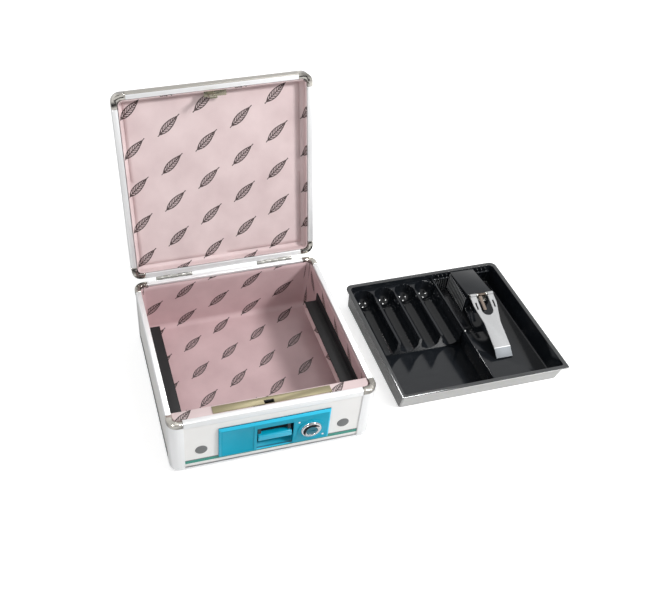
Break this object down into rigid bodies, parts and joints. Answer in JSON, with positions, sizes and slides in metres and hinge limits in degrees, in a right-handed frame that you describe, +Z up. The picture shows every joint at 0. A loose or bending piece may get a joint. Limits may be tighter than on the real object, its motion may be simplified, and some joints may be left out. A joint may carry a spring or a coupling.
{
  "type": "portable art supply box",
  "caption": "Lockable box with a framed white case, a hinged lid, a lined well and a lift-out sorting tray with round channels and a spring clip.",
  "frame": {"origin": "on the ground under the middle of the case, level with the soles of its feet", "axes": "+X to the right seen from the lock side, +Y to the hinge side, +Z up"},
  "size_m": [0.5302, 0.3352, 0.3326],
  "materials": {
    "panel": "smooth white laminate",
    "frame": "bright satin anodised",
    "nickel": "nickel-plated steel",
    "foot": "matt black rubber",
    "lining": "woven cloth with a small leaf print",
    "strike": "aged brass",
    "rail": "satin black",
    "plate": "satin turquoise with a bright bevel",
    "mark": "white",
    "grip": "satin turquoise",
    "bezel": "polished",
    "key_face": "turquoise enamel",
    "steel": "zinc-plated",
    "plug": "satin grey",
    "stripe": "green-teal film",
    "tray": "glossy dark grey moulding",
    "clip": "matt silver pressing",
    "spring": "bronze spring"
  },
  "bodies": {
    "base": {"floor_panel": "panel", "front_panel": "panel", "back_panel": "panel", "left_panel": "panel", "right_panel": "panel", "corner_posts": "frame", "bottom_rails": "frame", "bottom_corners": "frame", "base_rim_front": "frame", "base_rim_back": "frame", "base_rim_left": "frame", "base_rim_right": "frame", "feet": "foot", "strike_strip": "strike", "left_tray_rail": "rail", "right_tray_rail": "rail", "front_plate": "plate", "lock_housing": "bezel", "panel_plugs": "plug", "front_stripe": "stripe", "base_rim_corners": "nickel", "handle_pin": "nickel", "lock_nut": "nickel", "plate_nuts": "nickel", "hinge_base_leaves": "nickel", "hinge_pins": "nickel", "hinge_base_rivets": "nickel", "bolt_guides": "nickel", "base_lining": "lining", "front_ledge": "lining", "left_batten": "lining", "right_batten": "lining", "lock_marks": "mark"},
    "lid": {"lid_panel": "panel", "lid_rail_front": "frame", "lid_rail_back": "frame", "lid_rail_left": "frame", "lid_rail_right": "frame", "lid_corners": "nickel", "lid_lining": "lining", "lid_catch": "nickel", "hinge_lid_leaves": "nickel", "hinge_lid_rivets": "nickel", "catch_rivets": "nickel"},
    "tray": {"tray_body": "tray", "coin_rack": "tray", "tray_divider": "tray", "divider_peg": "mark", "clip_stand": "tray", "clip_bracket": "steel", "clip_pin": "nickel", "clip_spring": "spring"},
    "note_clip": {"bill_clip": "clip"},
    "handle": {"carry_handle": "grip"},
    "key_lock": {"lock_cylinder": "key_face", "lock_cam": "steel"},
    "bolt": {"lock_bolt": "steel"}
  },
  "joints": [
    {"name": "lid_hinge", "type": "hinge", "parent": "base", "child": "lid", "pos_m": [0, 0.1254, 0.0922], "axis": [1, 0, 0], "range_deg": [0, 104.5]},
    {"name": "handle_pivot", "type": "hinge", "parent": "base", "child": "handle", "pos_m": [0.0013, -0.118, 0.054], "axis": [-1, 0, 0], "range_deg": [0, 85]},
    {"name": "key_turn", "type": "hinge", "parent": "base", "child": "key_lock", "pos_m": [0.0456, -0.114, 0.043], "axis": [0, -1, 0], "range_deg": [0, 90]},
    {"name": "bolt_slide", "type": "slide", "parent": "base", "child": "bolt", "axis": [-1, 0, 0], "range_m": [0, 0.007]},
    {"name": "tray_lift", "type": "slide", "parent": "base", "child": "tray", "axis": [0, 0, 1], "range_m": [0, 0.15]},
    {"name": "note_clip_pivot", "type": "hinge", "parent": "tray", "child": "note_clip", "pos_m": [0.3504, 0.0462, 0.0398], "axis": [-1, 0, 0], "range_deg": [0, 35], "stiffness_Nm_per_rad": 0.06, "springref_deg": -22.92}
  ],
  "couplings": [
    {"joint": "bolt_slide", "follows": "key_turn", "m_per_rad": 0.0044562}
  ]
}
